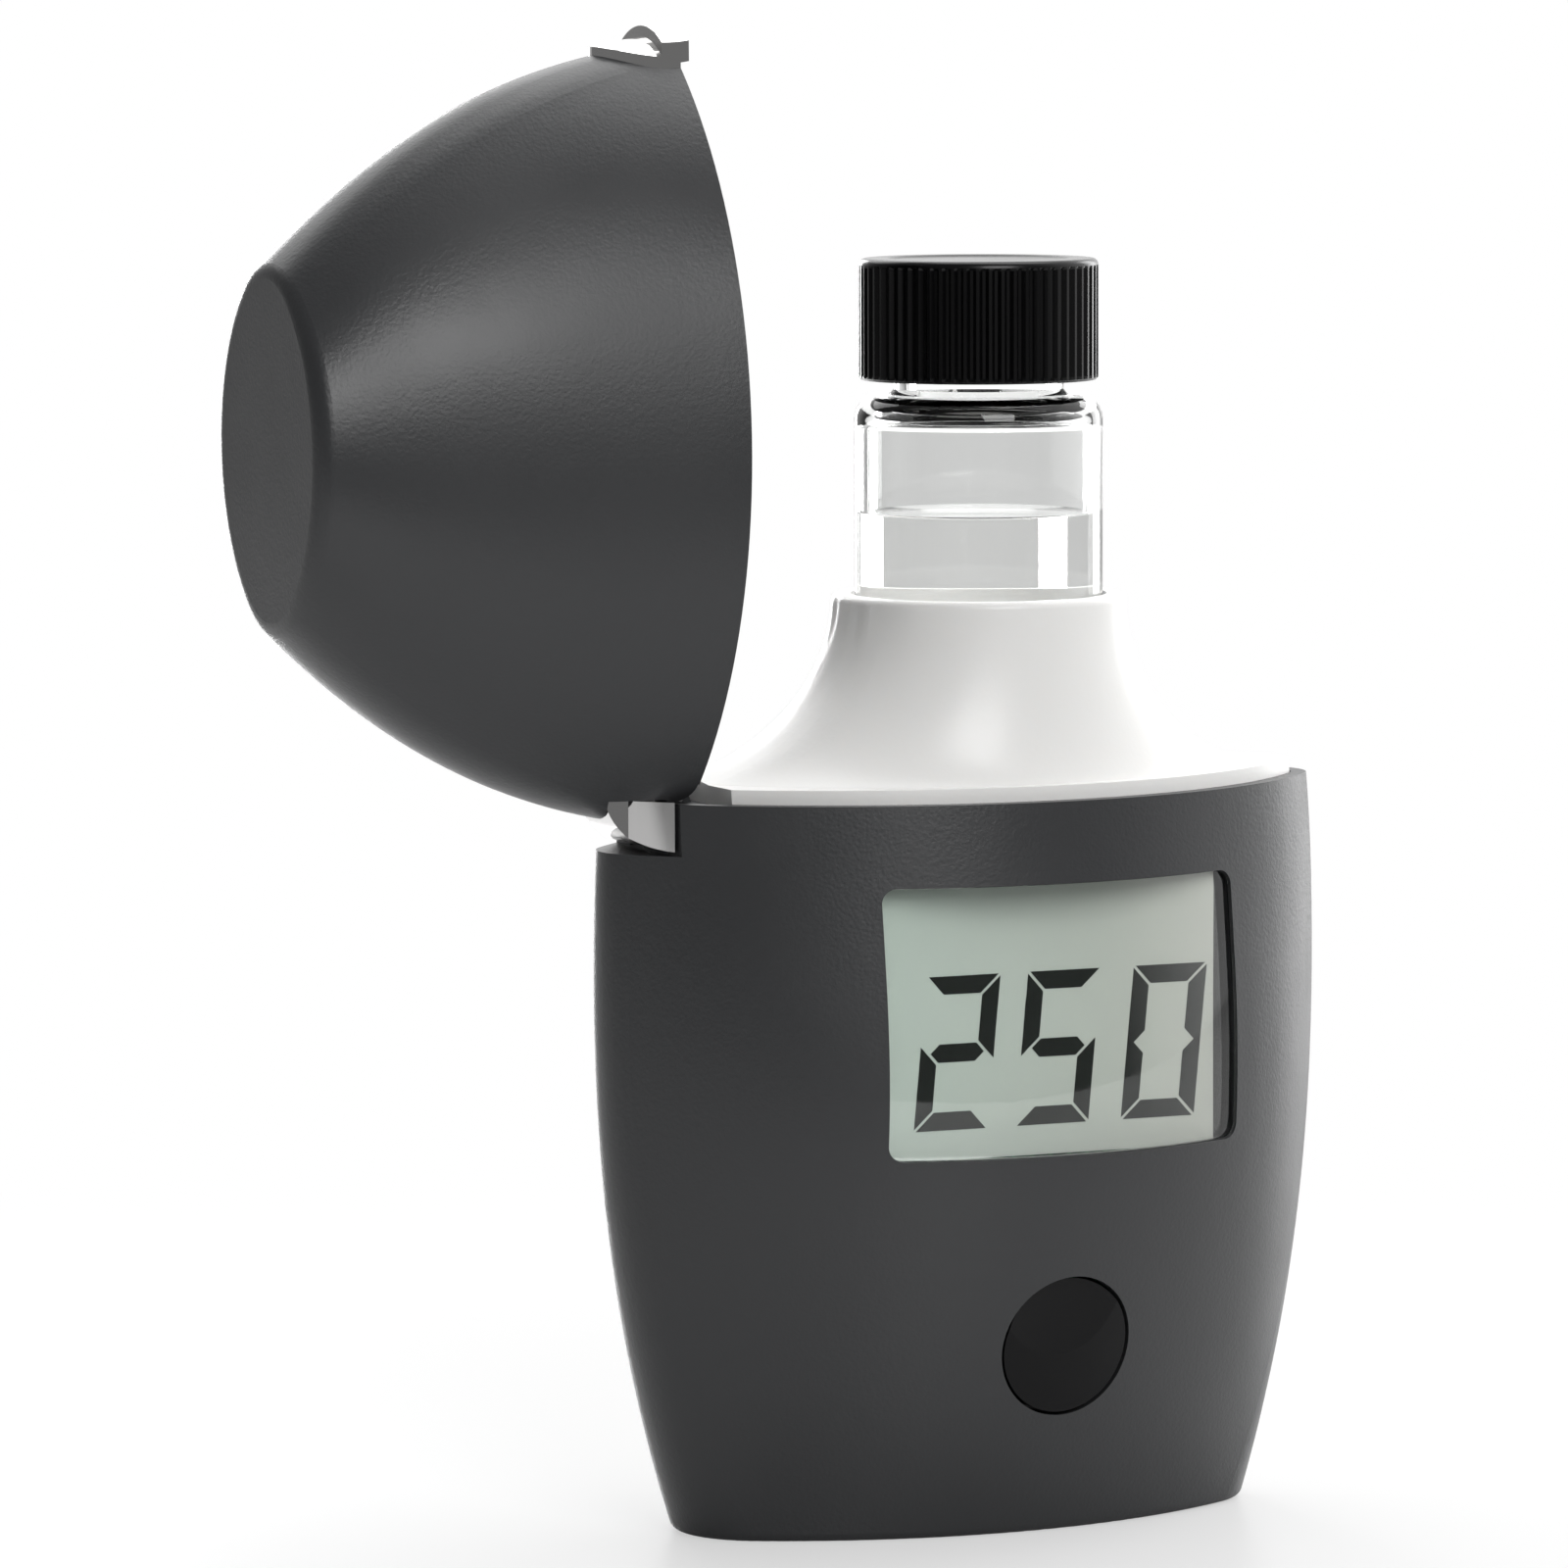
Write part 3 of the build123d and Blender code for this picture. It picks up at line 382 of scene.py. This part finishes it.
# Digits: three seven-segment numbers in the liquid crystal, an almost black
# green, leaning a little, each stroke with mitred or pointed ends.
digit_height = 0.0118
digit_width = 0.0062
stroke = 0.0014
stroke_gap = 0.00016
digit_lean = math.tan(math.radians(5.4))
digit_sheet = 0.00004
digit_middle = 0.03791
digit_places = (-0.00621, 0.00235, 0.01134)
digit_numbers = (2, 5, 0)
strokes_lit = {
    0: "abcdef",
    2: "abged",
    5: "afgcd",
}
half_tall = (digit_height - stroke) / 2
half_wide = (digit_width - stroke) / 2
stroke_lines = {
    "a": ((-half_wide, half_tall), (half_wide, half_tall)),
    "b": ((half_wide, half_tall), (half_wide, 0)),
    "c": ((half_wide, 0), (half_wide, -half_tall)),
    "d": ((-half_wide, -half_tall), (half_wide, -half_tall)),
    "e": ((-half_wide, 0), (-half_wide, -half_tall)),
    "f": ((-half_wide, half_tall), (-half_wide, 0)),
    "g": ((-half_wide, 0), (half_wide, 0)),
}


def stroke_plate(start, end, outer):
    """One stroke as a flat plate: mitred on the outer strokes, pointed on the middle one."""
    half = stroke / 2
    reach = math.dist(start, end) / 2 - stroke_gap
    long, short = reach + half, reach - half
    if outer == 0:
        outline = [(-reach, 0), (-short, -half), (short, -half)]
        outline += [(reach, 0), (short, half), (-short, half)]
    elif outer > 0:
        outline = [(-short, -half), (short, -half), (long, half), (-long, half)]
    else:
        outline = [(-long, -half), (long, -half), (short, half), (-short, half)]
    bpy.ops.mesh.primitive_circle_add(vertices=len(outline), radius=1, fill_type="NGON")
    plate_piece = bpy.context.object
    for vertex, (along, across) in zip(plate_piece.data.vertices, outline):
        vertex.co = (along, across, 0)
    turn = math.atan2(end[1] - start[1], end[0] - start[0])
    middle = Vector(((start[0] + end[0]) / 2, (start[1] + end[1]) / 2, 0))
    plate_piece.data.transform(Matrix.Translation(middle) @ Matrix.Rotation(turn, 4, "Z"))
    return plate_piece


stroke_sides = {"a": 1, "b": 1, "c": 1, "d": -1, "e": -1, "f": -1, "g": 0}
digit_plates = []
for number, place in zip(digit_numbers, digit_places):
    for letter in strokes_lit[number]:
        start, end = stroke_lines[letter]
        bpy.ops.object.select_all(action="DESELECT")
        digit_plate = stroke_plate(start, end, stroke_sides[letter])
        lean = Matrix.Identity(4)
        lean[0][1] = digit_lean
        upright = Matrix.Rotation(math.radians(90), 4, "X")
        seat = Matrix.Translation((place, display_low.y, digit_middle))
        digit_plate.data.transform(seat @ upright @ lean)
        digit_plates.append(digit_plate)
bpy.ops.object.select_all(action="DESELECT")
for digit_plate in digit_plates:
    digit_plate.select_set(True)
bpy.context.view_layer.objects.active = digit_plates[0]
bpy.ops.object.join()
digits = bpy.context.object
digits.name = "display_digits"
thicken = digits.modifiers.new("sheet", "SOLIDIFY")
thicken.thickness = digit_sheet
thicken.offset = 1
bpy.ops.object.modifier_apply(modifier="sheet")
ink = moulded("crystal_ink", (0.003, 0.0055, 0.0038), 0.35, 2400, 0.000001)
ink_face = ink.node_tree.nodes["Principled BSDF"]
ink_face.inputs["Specular IOR Level"].default_value = 0.1
digits.data.materials.append(ink)
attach(digits, "body")

# Reflector behind the display: a sheet of frosted foil that lies against the
# back of the display glass.
foil = moulded("reflector_foil", (0.62, 0.63, 0.60), 0.5, 3000, 0.00001)
foil.node_tree.nodes["Principled BSDF"].inputs["Metallic"].default_value = 0.6
dress("display_reflector", foil)

# Display window: clear polished sheet set just below the case's surface.
# Shadow rays go straight through it, so that the film behind stays lit.


def pass_shadows(material):
    """Lets a clear material's shadow rays through without changing how it looks itself."""
    tree = material.node_tree
    rays = tree.nodes.new("ShaderNodeLightPath")
    open_air = tree.nodes.new("ShaderNodeBsdfTransparent")
    either = tree.nodes.new("ShaderNodeMixShader")
    tree.links.new(rays.outputs["Is Shadow Ray"], either.inputs["Fac"])
    tree.links.new(tree.nodes["Principled BSDF"].outputs[0], either.inputs[1])
    tree.links.new(open_air.outputs[0], either.inputs[2])
    tree.links.new(either.outputs[0], tree.nodes["Material Output"].inputs["Surface"])


clear_sheet = bpy.data.materials.new("clear_sheet")
clear_sheet.use_nodes = True
sheet = clear_sheet.node_tree.nodes["Principled BSDF"]
sheet.inputs["Base Color"].default_value = (0.97, 0.98, 0.97, 1)
sheet.inputs["Roughness"].default_value = 0.03
sheet.inputs["IOR"].default_value = 1.49
sheet.inputs["Transmission Weight"].default_value = 1
pass_shadows(clear_sheet)
dress("display_window", clear_sheet)

# Boards: green lacquer over woven glass cloth, with copper runs showing
# through as paler lines.
board_lacquer = bpy.data.materials.new("board_lacquer")
board_lacquer.use_nodes = True
nodes, links = board_lacquer.node_tree.nodes, board_lacquer.node_tree.links
lacquer = nodes["Principled BSDF"]
lacquer.inputs["Roughness"].default_value = 0.28
board_place = nodes.new("ShaderNodeTexCoord")
board_runs = nodes.new("ShaderNodeTexBrick")
board_runs.inputs["Scale"].default_value = 320
board_runs.inputs["Mortar Size"].default_value = 0.06
board_runs.inputs["Color1"].default_value = (0.010, 0.085, 0.035, 1)
board_runs.inputs["Color2"].default_value = (0.014, 0.110, 0.045, 1)
board_runs.inputs["Mortar"].default_value = (0.045, 0.22, 0.085, 1)
board_turn = nodes.new("ShaderNodeMapping")
board_turn.inputs["Rotation"].default_value = (math.radians(90), 0, 0)
links.new(board_place.outputs["Object"], board_turn.inputs["Vector"])
links.new(board_turn.outputs[0], board_runs.inputs["Vector"])
links.new(board_runs.outputs["Color"], lacquer.inputs["Base Color"])
dress("main_board", board_lacquer)
dress("detector_board", board_lacquer)

# Chip, detector and light source: cast in black resin and in water-clear resin,
# and soldered to their boards.
chip_resin = moulded("chip_resin", (0.015, 0.015, 0.016), 0.5, 4000, 0.00001)
dress("processor_chip", chip_resin)
detector_resin = moulded("detector_resin", (0.02, 0.02, 0.023), 0.15, 4000, 0.000001)
dress("light_detector", detector_resin)
lamp_resin = moulded("lamp_resin", (0.55, 0.66, 0.55), 0.12, 4000, 0.000001)
lamp_resin.node_tree.nodes["Principled BSDF"].inputs["Transmission Weight"].default_value = 0.6
dress("light_source", lamp_resin)

# Light filter: a disc of green dyed glass, held in a housing on the well in
# front of the detector.
filter_glass = bpy.data.materials.new("filter_glass")
filter_glass.use_nodes = True
tinted = filter_glass.node_tree.nodes["Principled BSDF"]
tinted.inputs["Base Color"].default_value = (0.25, 0.70, 0.35, 1)
tinted.inputs["Roughness"].default_value = 0.04
tinted.inputs["Transmission Weight"].default_value = 1
dress("light_filter", filter_glass)

# Cell and contacts: the cell has a plain sleeve over its can. The contacts above
# and below it are sprung brass.
cell_skin = moulded("cell_skin", (0.36, 0.37, 0.39), 0.25, 1800, 0.000004, streaks=0.1)
cell_skin.node_tree.nodes["Principled BSDF"].inputs["Metallic"].default_value = 0.85
dress("battery_cell", cell_skin)
contact_brass = moulded("contact_brass", (0.62, 0.45, 0.18), 0.24, 1800, 0.000004)
contact_brass.node_tree.nodes["Principled BSDF"].inputs["Metallic"].default_value = 1
dress("battery_contact", contact_brass)
dress("contact_leaf", contact_brass)

# Cuvette: a drawn glass vial with a rounded shoulder, a narrow mouth with a
# thread ridge, and a foot a little thicker than its wall.
axis = Vector((0.0018, 0, 0))
glass_low, glass_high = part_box("cuvette_glass")
glass_radius = (glass_high.x - glass_low.x) / 2
glass_wall = 0.001
glass_floor = 0.0012
mouth_radius = 0.0066
mouth_wall = 0.001
mouth_fillet = 0.0004
shoulder_top = 0.0876
shoulder_round = 0.0019
foot_round = 0.0010
inner_round = 0.0012
inner_shoulder_drop = 0.0008
shoulder_slope = 0.0006
centre_radius = 0.002
lip_round = 0.0004
thread_height = 0.0895
thread_reach = 0.0004
turn_steps = 160


def quarter(middle_radius, middle_height, size, start, end, steps=7):
    """Rings, as (radius, height), along an arc of a turned outline between two angles."""
    rings = []
    for step in range(steps + 1):
        angle = math.radians(start + (end - start) * step / steps)
        rings.append((middle_radius + size * math.cos(angle), middle_height + size * math.sin(angle)))
    return rings


def turned(name, rings, steps=turn_steps):
    """A closed piece about the cuvette's axis: a filled disc drawn up ring by ring."""
    bpy.ops.object.select_all(action="DESELECT")
    radius, height = rings[0]
    foot = axis + Vector((0, 0, height))
    bpy.ops.mesh.primitive_circle_add(vertices=steps, radius=radius, fill_type="NGON", location=foot)
    piece = bpy.context.object
    piece.name = name
    bpy.ops.object.transform_apply(location=True)
    bpy.ops.object.mode_set(mode="EDIT")
    bpy.ops.mesh.select_all(action="SELECT")
    for next_radius, next_height in rings[1:]:
        bpy.ops.mesh.extrude_region_move(
            TRANSFORM_OT_translate={"value": (0, 0, next_height - height)}
        )
        scale = next_radius / radius
        bpy.ops.transform.resize(value=(scale, scale, 1), center_override=axis)
        radius, height = next_radius, next_height
    bpy.ops.mesh.select_all(action="SELECT")
    bpy.ops.mesh.normals_make_consistent(inside=False)
    bpy.ops.object.mode_set(mode="OBJECT")
    bpy.ops.object.shade_smooth_by_angle(angle=math.radians(32))
    return piece


inner_radius = glass_radius - glass_wall
inner_mouth = mouth_radius - mouth_wall
glass_rings = [(glass_radius - foot_round - centre_radius, glass_low.z)]
glass_rings += quarter(glass_radius - foot_round, glass_low.z + foot_round, foot_round, -90, 0)
glass_rings += quarter(
    glass_radius - shoulder_round, shoulder_top - shoulder_round, shoulder_round, 0, 90
)
glass_rings += [(mouth_radius + mouth_fillet, shoulder_top)]
glass_rings += [(mouth_radius, shoulder_top + mouth_fillet)]
glass_rings += quarter(mouth_radius, thread_height, thread_reach, -80, 80, 5)
glass_rings += quarter(mouth_radius - lip_round, glass_high.z - lip_round, lip_round, 0, 90, 4)
glass_rings += [(inner_mouth, glass_high.z), (inner_mouth, shoulder_top - shoulder_slope)]
glass_rings += quarter(
    glass_radius - shoulder_round - mouth_fillet,
    shoulder_top - shoulder_round - inner_shoulder_drop,
    shoulder_round - shoulder_slope,
    90,
    0,
)
glass_rings += quarter(
    inner_radius - inner_round, glass_low.z + glass_floor + inner_round, inner_round, 0, -90, 5
)
glass_rings += [(centre_radius, glass_low.z + glass_floor)]
vial = turned("cuvette_vial", glass_rings)
vial_glass = bpy.data.materials.new("vial_glass")
vial_glass.use_nodes = True
clear = vial_glass.node_tree.nodes["Principled BSDF"]
clear.inputs["Base Color"].default_value = (0.985, 0.99, 0.985, 1)
clear.inputs["Roughness"].default_value = 0.0
clear.inputs["IOR"].default_value = 1.47
clear.inputs["Transmission Weight"].default_value = 1
pass_shadows(vial_glass)
vial.data.materials.append(vial_glass)
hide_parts("cuvette_glass")
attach(vial, "cuvette")

# Sample: clear liquid that stands a little above the cover's neck and climbs the
# glass all round. It laps into the glass, so that no air shows between them.
liquid_low, liquid_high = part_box("sample_liquid")
liquid_lap = 0.00002
liquid_radius = inner_radius + liquid_lap
meniscus = 0.0002
meniscus_width = 0.0016
meniscus_steps = 7
rise_share = 0.4
dip_share = 0.6
curl = 2.6
liquid_rings = [(liquid_radius - inner_round - centre_radius, liquid_low.z + 2 * liquid_lap)]
liquid_rings += quarter(
    liquid_radius - inner_round, liquid_low.z + inner_round - liquid_lap, inner_round, -90, 0, 5
)
liquid_rings += [(liquid_radius, liquid_high.z + meniscus * rise_share)]
for step in range(1, meniscus_steps + 1):
    inward = step / meniscus_steps
    left = (1 - inward) ** curl
    climb = meniscus * (rise_share * left - dip_share * (1 - left))
    liquid_rings.append((liquid_radius - meniscus_width * inward, liquid_high.z + climb))
liquid_rings += [(centre_radius, liquid_high.z - meniscus * dip_share)]
sample = turned("sample_liquid_body", liquid_rings)
sample_water = bpy.data.materials.new("sample_water")
sample_water.use_nodes = True
water = sample_water.node_tree.nodes["Principled BSDF"]
water.inputs["Base Color"].default_value = (0.985, 0.985, 0.98, 1)
water.inputs["Roughness"].default_value = 0.0
water.inputs["IOR"].default_value = 1.33
water.inputs["Transmission Weight"].default_value = 1
pass_shadows(sample_water)
sample.data.materials.append(sample_water)
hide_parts("sample_liquid")
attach(sample, "cuvette")

# Cap: black moulded screw cap, sixty fine ribs round the skirt, a plain
# rounded top edge, a shallow dip in the top and a plain bore.
cap_low, cap_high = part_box("cuvette_cap")
cap_radius = (cap_high.x - cap_low.x) / 2
cap_ribs = 60
rib_depth = 0.00032
cap_round = 0.0005
cap_edge = 0.0002
dip_border = 0.0022
dip_slope = 0.0003
dip_depth = 0.00012
dip_centre = 0.0025
rib_low = cap_low.z + 2 * cap_edge
rib_high = cap_high.z - cap_round - cap_edge
rib_points = 4
cap_rings = [(cap_radius - cap_edge, cap_low.z), (cap_radius, cap_low.z + cap_edge)]
cap_rings += [(cap_radius, rib_low), (cap_radius, rib_high)]
cap_rings += quarter(cap_radius - cap_round, cap_high.z - cap_round, cap_round, 0, 90, 5)
cap_rings += [(cap_radius - dip_border, cap_high.z)]
cap_rings += [(cap_radius - dip_border - dip_slope, cap_high.z - dip_depth)]
cap_rings += [(dip_centre, cap_high.z - dip_depth)]
cap = turned("ribbed_cap", cap_rings, rib_points * cap_ribs)
skirt_near = 0.00005
skirt_inner = cap_radius - 0.0001
groove = 1 - rib_depth / cap_radius
for vertex in cap.data.vertices:
    spoke = vertex.co - axis
    away = math.hypot(spoke.x, spoke.y)
    if rib_low - skirt_near < vertex.co.z < rib_high + skirt_near and away > skirt_inner:
        turn = math.degrees(math.atan2(spoke.y, spoke.x)) % 360
        if round(turn * rib_points * cap_ribs / 360) % rib_points in (0, 1):
            vertex.co.x = axis.x + spoke.x * groove
            vertex.co.y = axis.y + spoke.y * groove
cap_roof = 0.0016
bore_gap = 0.0005
bore_depth = cap_high.z - cap_roof - cap_low.z
bpy.ops.object.select_all(action="DESELECT")
bpy.ops.mesh.primitive_cylinder_add(
    vertices=96,
    radius=mouth_radius + bore_gap,
    depth=2 * bore_depth,
    location=axis + Vector((0, 0, cap_low.z)),
)
bore_tool = bpy.context.object
bpy.ops.object.select_all(action="DESELECT")
cap.select_set(True)
bpy.context.view_layer.objects.active = cap
hollow = cap.modifiers.new("bore", "BOOLEAN")
hollow.object = bore_tool
hollow.operation = "DIFFERENCE"
hollow.solver = "EXACT"
bpy.ops.object.modifier_apply(modifier="bore")
bpy.data.objects.remove(bore_tool)
bpy.ops.object.shade_smooth_by_angle(angle=math.radians(28))
cap_plastic = moulded("cap_plastic", (0.0022, 0.0022, 0.0025), 0.26, 2400, 0.000002, spread=0.05)
cap_face = cap_plastic.node_tree.nodes["Principled BSDF"]
cap_face.inputs["Specular IOR Level"].default_value = 0.3
cap.data.materials.append(cap_plastic)
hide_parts("cuvette_cap")
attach(cap, "cap")

# Cap liner: a disc of white foam pressed into the cap, which seals the mouth and
# rises with the cap.
liner_foam = moulded("liner_foam", (0.78, 0.78, 0.76), 0.7, 1500, 0.00004)
dress("cap_liner", liner_foam)
